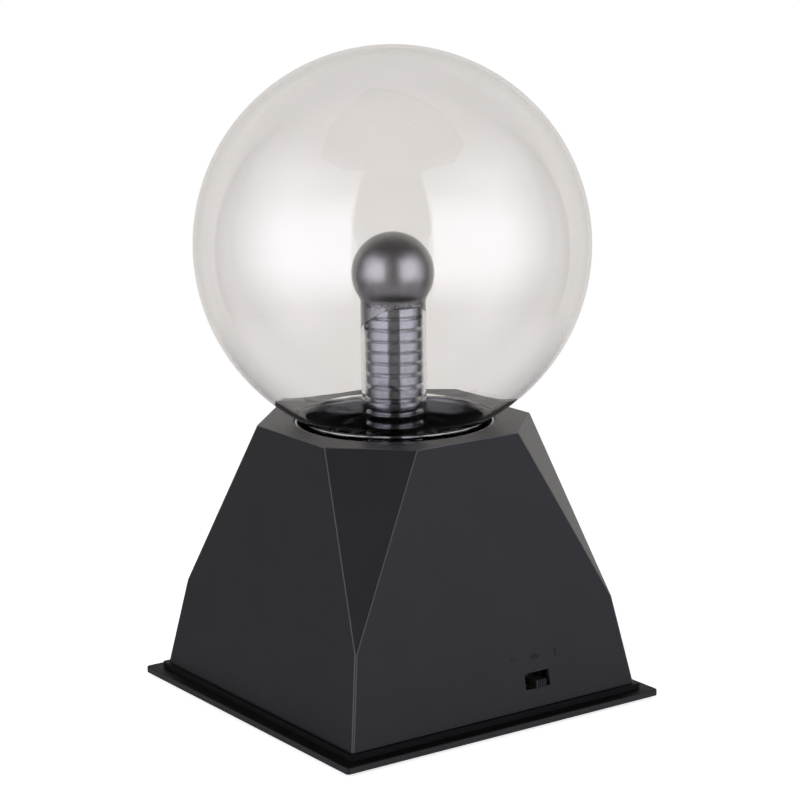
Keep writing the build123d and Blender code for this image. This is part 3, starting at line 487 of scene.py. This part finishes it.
finishes = {
    "plate_plastic": plate_abs,
    "housing_plastic": housing_abs,
    "cradle_plastic": dish_abs,
    "globe_glass": globe_tint,
    "film_metal": film_finish,
    "sleeve_metal": sleeve_finish,
    "screw_steel": grained(
        "zinc_plated_steel", "#9a9a96", "#bcbab2", 0.3, 0.005, (0.28, 0.42), metal=1.0
    ),
    "seal_rubber": grained("silicone_rubber_grey", "#4a4a4c", "#58585a", 0.5, 0.02, (0.6, 0.75)),
    "silicone": grained("silicone_sealant_white", "#c9c8c2", "#dad9d4", 1.2, 0.08, (0.35, 0.5)),
    "inner_plastic": grained("nylon_black_moulded", "#141415", "#1c1c1d", 0.4, 0.02, (0.4, 0.55)),
    "contact_brass": grained(
        "brass_pressed_sheet", "#b08d46", "#c9a65c", 0.4, 0.004, (0.25, 0.4), metal=1.0
    ),
    "board_laminate": grained("phenolic_paper_board", "#8a5a2c", "#a3713c", 0.6, 0.01, (0.4, 0.5)),
    "ferrite": grained("sintered_ferrite", "#26262a", "#3a3a3e", 0.5, 0.03, (0.45, 0.6)),
    "copper_wire": wound_wire(
        "enamelled_copper_turns", "#6b3a1c", "#b4683a", 0.5, (0.3, 0.4), 1.0
    ),
    "coil_tape": wound_wire("polyester_tape_wrap", "#a88a2a", "#d8b84a", 3.1, (0.25, 0.35), 0.0),
    "lead_sleeve_red": grained("silicone_lead_red", "#8f1c18", "#a62420", 0.8, 0.01, (0.4, 0.5)),
    "lead_sleeve_black": grained("pvc_lead_black", "#121212", "#1c1c1c", 0.8, 0.01, (0.35, 0.45)),
    "heatsink_aluminium": grained(
        "extruded_aluminium", "#a9abae", "#bfc1c4", 0.5, 0.008, (0.35, 0.5), metal=1.0
    ),
    "moulded_epoxy": grained("moulded_epoxy_black", "#18181a", "#242426", 0.3, 0.02, (0.5, 0.65)),
    "capacitor_sleeve": capped_sleeve("pvc_shrink_sleeve", "#161a2a", "#20263c", "#c4c6c8"),
    "resistor_paint": banded_body("painted_ceramic_banded", "#c8ab78", "#7a3418", 1.6),
    "connector_nylon": grained("nylon_natural", "#cfc9b8", "#ddd8ca", 0.6, 0.02, (0.4, 0.55)),
    "frame_steel": grained(
        "nickel_plated_steel", "#8e8e8c", "#a8a8a4", 0.4, 0.004, (0.22, 0.34), metal=1.0
    ),
    "knob_plastic": grained("pom_black_moulded", "#131314", "#1b1b1d", 0.25, 0.02, (0.32, 0.42)),
    "foot_rubber": grained("rubber_black_foot", "#1a1a1b", "#262627", 0.5, 0.04, (0.7, 0.85)),
}
for packed_piece in nodes.values():
    for material_slot in packed_piece.material_slots:
        material_slot.material = finishes[material_slot.material.name.split(".")[0]]
print("finishes on the packed pieces:", len(finishes))

# %% [markdown]
# ## Turned surfaces
# The globe, the electrode and the sleeve are all round, so each is a profile turned about the
# vertical axis. Blender's Screw modifier could do that, but a grid of points can still be changed
# by angle afterwards, which gives us the film's slanted edge and the sleeve's pressed seam. Arrays
# hold the whole surface at once: rows run along the profile, columns run around the axis.

# %% Profiles and turned meshes
CM3 = 1e-6


def arc(centre, radius, start, end, steps):
    """Points (r, z) on a circle about centre, from angle start to end in degrees."""
    angles = np.radians(np.linspace(start, end, steps))
    circle = np.column_stack([np.cos(angles), np.sin(angles)])
    return np.array(centre) + radius * circle


def line(start, end, steps):
    """Evenly spaced points (r, z) from start to end."""
    share = np.linspace(0, 1, steps)[:, None]
    return np.array(start) * (1 - share) + np.array(end) * share


def joined(*runs):
    """Runs of points end to end, without the points that two runs share."""
    points = np.vstack(runs)
    steps = np.linalg.norm(np.diff(points, axis=0), axis=1)
    return points[np.concatenate([[True], steps > 1e-4])]


def turned(profile, columns):
    """Profile (r, z) turned about Z: x = r cos a, y = r sin a. Gives rows x columns x 3."""
    angles = np.linspace(0, 2 * pi, columns, endpoint=False)
    radius = profile[:, :1]
    height = np.repeat(profile[:, 1:], columns, axis=1)
    return np.stack([radius * np.cos(angles), radius * np.sin(angles), height], axis=-1)


def add_skin(name, grids, material, body, closed_rows=False):
    """A smooth piece from grids of points in mm. Columns close on themselves, a row of radius 0
    becomes one pole point, and closed_rows joins the last row to the first."""
    all_points = []
    all_faces = []
    start = 0
    for grid in grids:
        rows, columns = grid.shape[:2]
        points = grid.reshape(-1, 3)
        index = np.arange(rows * columns).reshape(rows, columns)
        flat = np.ptp(grid, axis=1).max(axis=1) < 1e-6
        index[flat] = index[flat][:, :1]
        index = np.hstack([index, index[:, :1]])
        if closed_rows:
            index = np.vstack([index, index[:1]])
        a, b, c, d = index[:-1, :-1], index[1:, :-1], index[1:, 1:], index[:-1, 1:]
        quads = np.stack([a, b, c, d], axis=-1).reshape(-1, 4)
        corners = np.vstack([quads[:, [0, 1, 2]], quads[:, [0, 2, 3]]])
        whole = (corners[:, 0] != corners[:, 1]) & (corners[:, 1] != corners[:, 2])
        whole &= corners[:, 0] != corners[:, 2]
        used, corners = np.unique(corners[whole], return_inverse=True)
        all_points.append(points[used])
        all_faces.append(corners.reshape(-1, 3) + start)
        start += len(used)
    points = np.vstack(all_points) * MM
    faces = np.vstack(all_faces)
    mesh = bpy.data.meshes.new(name)
    mesh.vertices.add(len(points))
    mesh.vertices.foreach_set("co", points.astype(np.float32).ravel())
    mesh.loops.add(faces.size)
    mesh.loops.foreach_set("vertex_index", faces.astype(np.int32).ravel())
    mesh.polygons.add(len(faces))
    mesh.polygons.foreach_set("loop_start", np.arange(0, faces.size, 3, dtype=np.int32))
    mesh.polygons.foreach_set("use_smooth", np.ones(len(faces), bool))
    mesh.update(calc_edges=True)
    mesh.materials.append(material)
    piece = bpy.data.objects.new(name, mesh)
    bpy.context.scene.collection.objects.link(piece)
    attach(piece, body)
    first, second, third = (points[faces[:, corner]] for corner in range(3))
    volume = np.einsum("ij,ij->", first, np.cross(second, third)) / 6 / CM3
    print(name, len(faces), "triangles, volume", round(float(volume), 2), "cm3")
    return piece


# %% [markdown]
# ## The glass globe
# A ball 200 mm across with a 1.8 mm wall turns through a tight bend into a straight neck, which
# ends in a rounded shoulder and a flat floor inside the base. The bend is what draws the thin
# bright line around the opening of the base, so its profile needs many points. Both walls are
# modelled, because light bends at each of them, and the inner one is slightly uneven at the bend,
# which breaks the line up as on blown glass. The tube that the air was pumped out through is
# melted off under the floor.

# %% Globe profile and mesh
# Lengths are in mm from here on, up to the floor.
globe_low, globe_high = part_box("glass_globe")
GLOBE_RADIUS = (globe_high.y - globe_low.y) / 2 / MM
GLOBE_Z = globe_high.z / MM - GLOBE_RADIUS
GLOBE_WALL = 1.8
NECK_RADIUS = 46.5
NECK_BEND = 3.0
SHOULDER = 10.0
NECK_FLOOR = 106.0
SEAL_RADIUS = 24.0
bend_r = NECK_RADIUS + NECK_BEND
bend_z = GLOBE_Z - sqrt((GLOBE_RADIUS + NECK_BEND) ** 2 - bend_r**2)
bend_angle = np.degrees(atan2(bend_z - GLOBE_Z, bend_r))


def globe_wall(inset):
    """Ball, bend, neck, shoulder and floor, moved in by inset."""
    shoulder_r = NECK_RADIUS - SHOULDER
    shoulder_z = NECK_FLOOR + SHOULDER
    return joined(
        arc((0, GLOBE_Z), GLOBE_RADIUS - inset, 90, bend_angle, 110),
        arc((bend_r, bend_z), NECK_BEND + inset, bend_angle + 180, 180, 16),
        line((NECK_RADIUS - inset, bend_z), (NECK_RADIUS - inset, shoulder_z), 10),
        arc((shoulder_r, shoulder_z), SHOULDER - inset, 0, -90, 12),
        line((shoulder_r, NECK_FLOOR + inset), (SEAL_RADIUS, NECK_FLOOR + inset), 4),
    )


TIP_ROOT = NECK_FLOOR + GLOBE_WALL / 2  # the tip starts inside the floor's wall
TIP_SPOT = np.array([0, 34.0, 0])
TIP_COLUMNS = 32
exhaust = joined(
    line((0, TIP_ROOT), (2.6, TIP_ROOT), 3),
    line((2.6, TIP_ROOT), (1.6, NECK_FLOOR - 6.2), 8),
    arc((0.6, NECK_FLOOR - 6.1), 1.0, 0, -90, 5),
    line((0.6, NECK_FLOOR - 7.1), (0, NECK_FLOOR - 7.1), 3),
)
tip_grid = turned(exhaust, TIP_COLUMNS) + TIP_SPOT
tip_grid[[0, -1]] = tip_grid[[0, -1]].mean(axis=1, keepdims=True)
GLOBE_COLUMNS = 288
UNEVEN_REACH = 4.0  # mm above and below the bend
UNEVEN_DEPTH = 0.006  # share of the radius
around = np.linspace(0, 2 * pi, GLOBE_COLUMNS, endpoint=False)
outer_grid = turned(globe_wall(0), GLOBE_COLUMNS)
inner_grid = turned(globe_wall(GLOBE_WALL)[::-1], GLOBE_COLUMNS)
near_bend = np.exp(-(((inner_grid[..., 2] - bend_z) / UNEVEN_REACH) ** 2))
uneven = 0.5 * np.sin(7 * around + 0.4) + 0.3 * np.sin(17 * around + 2.0)
uneven += 0.2 * np.sin(31 * around)
squeeze = 1 - UNEVEN_DEPTH * near_bend * uneven
inner_grid[..., :2] *= squeeze[..., None]
globe_grid = np.concatenate([outer_grid, inner_grid])
globe = add_skin("blown_globe", [globe_grid, tip_grid], globe_tint, "housing")
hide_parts("glass_globe")

# %% [markdown]
# ## The electrode's glass
# A bulb 42 mm across on a 33 mm tube, which flares out at its foot and is fused to the neck's
# floor. It is made the same way as the globe.

# %% Electrode glass profile and mesh
BULB_RADIUS = 21.0
BULB_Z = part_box("electrode_glass")[1].z / MM - BULB_RADIUS
TUBE_RADIUS = 16.6
TUBE_BEND = 6.0
TUBE_WALL = 1.4
ELECTRODE_COLUMNS = 128
tube_bend_r = TUBE_RADIUS + TUBE_BEND
tube_bend_z = BULB_Z - sqrt((BULB_RADIUS + TUBE_BEND) ** 2 - tube_bend_r**2)
tube_angle = np.degrees(atan2(tube_bend_z - BULB_Z, tube_bend_r))
flare = SEAL_RADIUS - TUBE_RADIUS
flare_z = NECK_FLOOR + GLOBE_WALL + flare


def electrode_wall(inset, end_z, tube_steps):
    """Bulb, bend and tube down to end_z, moved in by inset."""
    return joined(
        arc((0, BULB_Z), BULB_RADIUS - inset, 90, tube_angle, 48),
        arc((tube_bend_r, tube_bend_z), TUBE_BEND + inset, tube_angle + 180, 180, 12),
        line((TUBE_RADIUS - inset, tube_bend_z), (TUBE_RADIUS - inset, end_z), tube_steps),
    )


electrode_profile = joined(
    electrode_wall(0, flare_z, 24),
    arc((SEAL_RADIUS, flare_z), flare, 180, 270, 12),
    arc((SEAL_RADIUS, flare_z), flare + TUBE_WALL, 270, 180, 12),
    electrode_wall(TUBE_WALL, flare_z, 24)[::-1],
)
electrode_grid = turned(electrode_profile, ELECTRODE_COLUMNS)
electrode = add_skin(
    "electrode_bulb_and_tube", [electrode_grid], tube_tint, "housing"
)
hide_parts("electrode_glass")

# %% [markdown]
# ## The metal film
# The film clings to the inside of the bulb and a short way down the tube. A layer of air between
# glass and film would draw a bright ring around the bulb, so the film's outer side lies just
# inside the glass. Its lower edge was dipped at a slant, so it is the line where a tilted plane
# meets the tube, and it is a little ragged. Each column of the grid ends on that line, with two
# sine waves of different lengths added to it.

# %% Film grid
FILM_INSET = TUBE_WALL - 0.05
FILM_THICKNESS = 0.15
FILM_END_Z = 193.9  # height of the edge on the axis
FILM_LEAN = (0.115, 0.625)  # how much it falls per mm along x and y
FILM_COLUMNS = 256
SKIRT_ROWS = 25  # rows from the bend down to the edge


def film_wall(inset):
    """Rows of points from the pole to the slanted edge, for every angle around the axis."""
    angles = np.linspace(0, 2 * pi, FILM_COLUMNS, endpoint=False)
    upper = electrode_wall(inset, tube_bend_z - 0.1, 2)
    radius = TUBE_RADIUS - inset
    edge = FILM_END_Z - radius * (FILM_LEAN[0] * np.cos(angles) + FILM_LEAN[1] * np.sin(angles))
    edge += 0.10 * np.sin(9 * angles) + 0.07 * np.sin(23 * angles + 1.0)
    share = np.linspace(0, 1, SKIRT_ROWS + 1)[1:, None]
    height = upper[-1, 1] * (1 - share) + edge[None, :] * share
    radii = np.vstack([np.repeat(upper[:, :1], FILM_COLUMNS, 1), np.full(height.shape, radius)])
    heights = np.vstack([np.repeat(upper[:, 1:], FILM_COLUMNS, 1), height])
    return np.stack([radii * np.cos(angles), radii * np.sin(angles), heights], axis=-1)


film_grid = np.concatenate([film_wall(FILM_INSET), film_wall(FILM_INSET + FILM_THICKNESS)[::-1]])
film = add_skin("electrode_film", [film_grid], film_finish, "housing")
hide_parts("electrode_coating")

# %% [markdown]
# ## The corrugated sleeve
# A strip of thin metal formed into folds: each has a flat ledge on top, a plain band, and a slant
# down to a narrow root. Hand forming leaves the folds a little uneven, so their spacing stretches
# slightly near the middle. Where the strip overlaps itself the folds are pressed shallow. Sharp
# corners would look machined, so every corner of the profile is cut by a small curve first.

# %% Sleeve profile and mesh
SLEEVE_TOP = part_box("contact_sleeve")[1].z / MM
SLEEVE_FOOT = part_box("contact_sleeve")[0].z / MM
SLEEVE_OUT = 14.75
SLEEVE_ROOT = 12.4
FOLDS = 16
PITCH = 6.1
BAND = 4.1
SLANT = 0.9
SHEET = 0.4
DEEP_ROOT = 0.8  # the folds above the plug go this much deeper
PLUG_FOLD = 11
SLEEVE_SHIFT = np.array([0.25, -0.17, 0.0])  # it leans on one side of the tube
SEAM_ANGLE = radians(145)  # side where the strip overlaps itself
SEAM_WIDTH = 0.6  # radians over which the folds deepen again
SEAM_FILL = 1.3  # how far the roots are pushed out at the seam
SLEEVE_COLUMNS = 128
STRETCH = 1.6  # how far the folds near the middle are lifted
STRETCH_FOLD = 5.2  # the fold lifted most, counted from the top
STRETCH_SPREAD = 2.4  # in folds
CORNER_RADIUS = 0.25


def softened(points, radius):
    """Each corner replaced by a curve: the weighted mix of the corner and a point on each side. A
    further point beyond each end keeps the shading of the flat parts flat."""
    before, corner, after = points[:-2], points[1:-1], points[2:]
    sides = []
    for neighbour in (before, after):
        way = neighbour - corner
        length = np.linalg.norm(way, axis=1, keepdims=True)
        near = corner + way / length * np.minimum(radius, length * 0.3)
        far = corner + way / length * np.minimum(radius * 1.4, length * 0.45)
        sides.append((near, far))
    (start, hold_start), (end, hold_end) = sides
    middle = 0.25 * start + 0.5 * corner + 0.25 * end
    curve = np.stack([hold_start, start, middle, end, hold_end], axis=1)
    return np.vstack([points[:1], curve.reshape(-1, 2), points[-1:]])


def sleeve_side(shift):
    """The folded outline, moved in by shift, from the top fold down to the straight collar."""
    fold = np.arange(FOLDS)
    deep = DEEP_ROOT * (fold < PLUG_FOLD)
    lift = STRETCH * np.exp(-(((fold - STRETCH_FOLD) / STRETCH_SPREAD) ** 2)) * (fold > 0)
    top = SLEEVE_TOP - fold * PITCH + lift
    out = SLEEVE_OUT - shift
    root = SLEEVE_ROOT - shift
    lip = np.stack([
        np.column_stack([root - deep, top - shift]),
        np.column_stack([np.full(FOLDS, out), top - shift]),
        np.column_stack([np.full(FOLDS, out), top - BAND + shift / 2]),
        np.column_stack([root - deep, top - BAND - SLANT + shift / 2]),
    ], axis=1).reshape(-1, 2)
    return softened(np.vstack([lip, [[root, SLEEVE_FOOT]]]), CORNER_RADIUS)


sleeve_profile = np.vstack([sleeve_side(0), sleeve_side(SHEET)[::-1]])
sleeve_grid = turned(sleeve_profile, SLEEVE_COLUMNS)
sleeve_radii = np.linalg.norm(sleeve_grid[..., :2], axis=-1, keepdims=True)
sleeve_turn = np.linspace(0, 2 * pi, SLEEVE_COLUMNS, endpoint=False)
from_seam = np.angle(np.exp(1j * (sleeve_turn - SEAM_ANGLE)))
depth = np.clip((SLEEVE_OUT - sleeve_radii) / (SLEEVE_OUT - SLEEVE_ROOT), 0, 1)
pressed = SEAM_FILL * depth * np.exp(-((from_seam / SEAM_WIDTH) ** 2))[None, :, None]
sleeve_grid[..., :2] *= 1 + pressed / sleeve_radii
sleeve_grid = sleeve_grid + SLEEVE_SHIFT
sleeve = add_skin(
    "corrugated_sleeve",
    [sleeve_grid],
    sleeve_finish,
    "housing",
    closed_rows=True,
)
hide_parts("contact_sleeve")

# %% [markdown]
# ## Floor
# The table is matt white paper lit from below as well, which leaves hardly any shadow. The glow
# would also light the black base from underneath, so it counts only for what the camera sees,
# straight ahead or through clear glass. The disc fades out before its edge would show.

# %% Floor disc
FLOOR_REACH = 0.65  # in metres
FLOOR_RINGS = 24
FLOOR_COLUMNS = 96
FLOOR_FADE = (0.2, 0.62)  # distances at which the disc starts to fade and is gone
FLOOR_GLOW = 0.8


def grid_mesh(name, points, ring=False):
    """A mesh from rows x columns x 3 points in metres, with a quad between every four neighbours.
    ring joins the last column to the first. Gives the mesh and the quads."""
    rows, columns = points.shape[:2]
    index = np.arange(rows * columns).reshape(rows, columns)
    if ring:
        index = np.hstack([index, index[:, :1]])
    corners = (index[:-1, :-1], index[1:, :-1], index[1:, 1:], index[:-1, 1:])
    quads = np.stack(corners, axis=-1).reshape(-1, 4)
    mesh = bpy.data.meshes.new(name)
    mesh.from_pydata(points.reshape(-1, 3).tolist(), [], quads.tolist())
    mesh.update()
    return mesh, quads


def put_on_stage(name, mesh, material):
    """An object for the mesh that belongs to the studio and not to the part."""
    mesh.materials.append(material)
    prop = bpy.data.objects.new(name, mesh)
    bpy.context.scene.collection.objects.link(prop)
    return prop


def has_bounced(tree):
    """1 for light that has already been mirrored or scattered. 0 for what the camera sees straight
    ahead or through clear glass."""
    ray = add_node(tree, "ShaderNodeLightPath").outputs
    return add_node(tree, "ShaderNodeMath", {
        0: ray["Glossy Depth"], 1: ray["Diffuse Depth"],
    }, operation="ADD", use_clamp=True).outputs[0]


def eased(tree, value, start, end, low, high):
    """low before start, high after end and a smooth change between. start may be the larger."""
    return add_node(tree, "ShaderNodeMapRange", {
        "Value": value, "From Min": start, "From Max": end, "To Min": low, "To Max": high,
    }, interpolation_type="SMOOTHSTEP").outputs["Result"]


def paper():
    """Matt white that glows for unbounced light and fades with the distance from the middle."""
    material, tree, output, place = new_finish("matt_white_paper")
    distance = add_node(tree, "ShaderNodeVectorMath", {0: place}, operation="LENGTH")
    glow = add_node(tree, "ShaderNodeMapRange", {
        "Value": has_bounced(tree), "To Min": FLOOR_GLOW, "To Max": 0.0,
    }).outputs["Result"]
    close_finish(tree, output, {
        "Base Color": blend_colours(tree, noise(tree, place, 3.0), "#f2f2f2", "#f6f6f6"),
        "Roughness": 0.9,
        "Specular IOR Level": 0.1,
        "Emission Color": (1, 1, 1, 1),
        "Emission Strength": glow,
        "Alpha": eased(tree, distance.outputs["Value"], *FLOOR_FADE, 1.0, 0.0),
    })
    return material


ring_reach = FLOOR_REACH * np.linspace(0, 1, FLOOR_RINGS)[1:, None] ** 2
ring_turn = np.linspace(0, 2 * pi, FLOOR_COLUMNS, endpoint=False)
floor_points = np.stack([
    ring_reach * np.cos(ring_turn), ring_reach * np.sin(ring_turn), 0 * ring_reach * ring_turn,
], axis=-1)
floor_mesh, floor_quads = grid_mesh("floor", floor_points, ring=True)
put_on_stage("floor", floor_mesh, paper())
print("floor:", len(floor_quads), "quads")

# %% [markdown]
# ## Sky
# One plain white sky would light the black plastic grey, so there are three. The camera sees pure
# white. Clear glass lets through a slightly duller, warmer sweep, so that the glass shows against
# the white. Whatever is lit or mirrored sees a dim room that is bright only behind the object,
# which keeps the black plastic black and still gives every rim its light.

# %% Three skies
ROOM_COLOUR = linear("#faf7f4")
ROOM_LOW = 0.2  # radiance of the room around the table
ROOM_HIGH = 0.08  # and overhead
ROOM_RISE = (0.1, 0.75)  # heights between which it changes, as the sine of the angle
SWEEP_LIGHT = 0.69  # radiance that the lit sweep adds behind the object
SWEEP_TURN = (0.3, 0.8)  # cosine of the angle from straight behind

behind = Vector((sight.x, sight.y, 0)).normalized()
world = bpy.data.worlds.new("sweep")
world.use_nodes = True
bpy.context.scene.world = world
sky = world.node_tree
sky.nodes.clear()
looking = add_node(sky, "ShaderNodeTexCoord").outputs["Generated"]
height = add_node(sky, "ShaderNodeSeparateXYZ", {"Vector": looking}).outputs["Z"]
toward = add_node(
    sky, "ShaderNodeVectorMath", {0: looking, 1: behind}, operation="DOT_PRODUCT"
).outputs["Value"]
room_light = add_node(sky, "ShaderNodeMath", {
    0: eased(sky, height, *ROOM_RISE, ROOM_LOW, ROOM_HIGH),
    1: eased(sky, toward, *SWEEP_TURN, 0.0, SWEEP_LIGHT),
}, operation="ADD").outputs[0]
room = add_node(sky, "ShaderNodeBackground", {"Color": ROOM_COLOUR, "Strength": room_light})
sweep = add_node(sky, "ShaderNodeBackground", {
    "Color": ROOM_COLOUR, "Strength": ROOM_LOW + SWEEP_LIGHT,
})
white = add_node(sky, "ShaderNodeBackground", {"Color": (1, 1, 1, 1), "Strength": 1.0})
behind_glass = add_node(sky, "ShaderNodeMixShader", {
    0: has_bounced(sky), 1: sweep.outputs["Background"], 2: room.outputs["Background"],
})
whole_sky = add_node(sky, "ShaderNodeMixShader", {
    0: add_node(sky, "ShaderNodeLightPath").outputs["Is Camera Ray"],
    1: behind_glass.outputs["Shader"],
    2: white.outputs["Background"],
})
add_node(sky, "ShaderNodeOutputWorld", {"Surface": whole_sky.outputs["Shader"]})
bpy.context.scene.view_settings.view_transform = "Standard"
bpy.context.scene.view_settings.look = "None"
print("sweep behind, seen from", [round(v, 3) for v in behind])

# %% [markdown]
# ## Soft boxes
# A product like this is shot between two large soft boxes, which make the pair of tall patches on
# everything shiny. An area lamp is flat and evenly bright, and its mirrored patch has hard
# corners. A sheet made of mesh can bend round the object and fade towards its far end and its
# edges, as a lit cloth does. It is left clear for light that hasn't bounced, so that it never
# blocks a view through the globe.

# %% Curved sheets of light
BOX_AIM = np.array([0, 0, 0.22])  # a point near the middle of the globe, in metres
BOX_REACH = 1.7
BOX_TURNS = (21, 119)  # degrees round from the camera's direction
BOX_RISES = (-30, 60)  # degrees up from the middle of the globe
BOX_COLUMNS = 40
BOX_ROWS = 12
BOX_LIGHT = 2.3
BOX_COLOUR = linear("#eeeefa")
BOX_FADES = (  # where on its width X and height Y the cloth goes from dark to fully lit
    ("X", 0.0, 0.03), ("X", 1.0, 0.42), ("Y", 0.0, 0.33), ("Y", 1.0, 0.60),
)


def lit_cloth():
    """Emission that fades towards the sheet's edges, by the share of its width and height."""
    material, tree, output, _ = new_finish("lit_white_cloth")
    share = add_node(tree, "ShaderNodeUVMap", uv_map="share").outputs["UV"]
    parts = add_node(tree, "ShaderNodeSeparateXYZ", {"Vector": share}).outputs
    glow = BOX_LIGHT
    for part, dark, lit in BOX_FADES:
        step = eased(tree, parts[part], dark, lit, 0.0, 1.0)
        glow = add_node(
            tree, "ShaderNodeMath", {0: step, 1: glow}, operation="MULTIPLY"
        ).outputs[0]
    light = add_node(tree, "ShaderNodeEmission", {"Color": BOX_COLOUR, "Strength": glow})
    cloth = add_node(tree, "ShaderNodeMixShader", {
        0: has_bounced(tree),
        1: add_node(tree, "ShaderNodeBsdfTransparent").outputs["BSDF"],
        2: light.outputs["Emission"],
    })
    tree.links.new(cloth.outputs["Shader"], output.inputs["Surface"])
    return material


def sheet_of_light(name, side, material):
    """A grid on an upright cylinder: x = r sin a, y = r cos a, z = r tan(rise), where a is the
    turn from the camera's direction, to the right for side 1 and to the left for side -1."""
    turn, rise = np.meshgrid(
        np.radians(np.linspace(*BOX_TURNS, BOX_COLUMNS)),
        np.radians(np.linspace(*BOX_RISES, BOX_ROWS)),
    )
    front = -np.array(behind)
    across = np.array((-front[1], front[0], 0)) * side
    points = np.cos(turn)[..., None] * front + np.sin(turn)[..., None] * across
    points += np.tan(rise)[..., None] * np.array([0, 0, 1])
    mesh, quads = grid_mesh(name, BOX_REACH * points + BOX_AIM)
    share = np.stack(
        np.meshgrid(np.linspace(0, 1, BOX_COLUMNS), np.linspace(0, 1, BOX_ROWS)), axis=-1
    ).reshape(-1, 2)
    layer = mesh.uv_layers.new(name="share")
    layer.data.foreach_set("uv", share[quads.ravel()].astype(np.float32).ravel())
    sheet = put_on_stage(name, mesh, material)
    sheet.visible_camera = False


cloth_finish = lit_cloth()
sheet_of_light("soft_box_left", -1, cloth_finish)
sheet_of_light("soft_box_right", 1, cloth_finish)
print("soft boxes at", BOX_REACH, "m, turned", BOX_TURNS, "degrees from the camera")
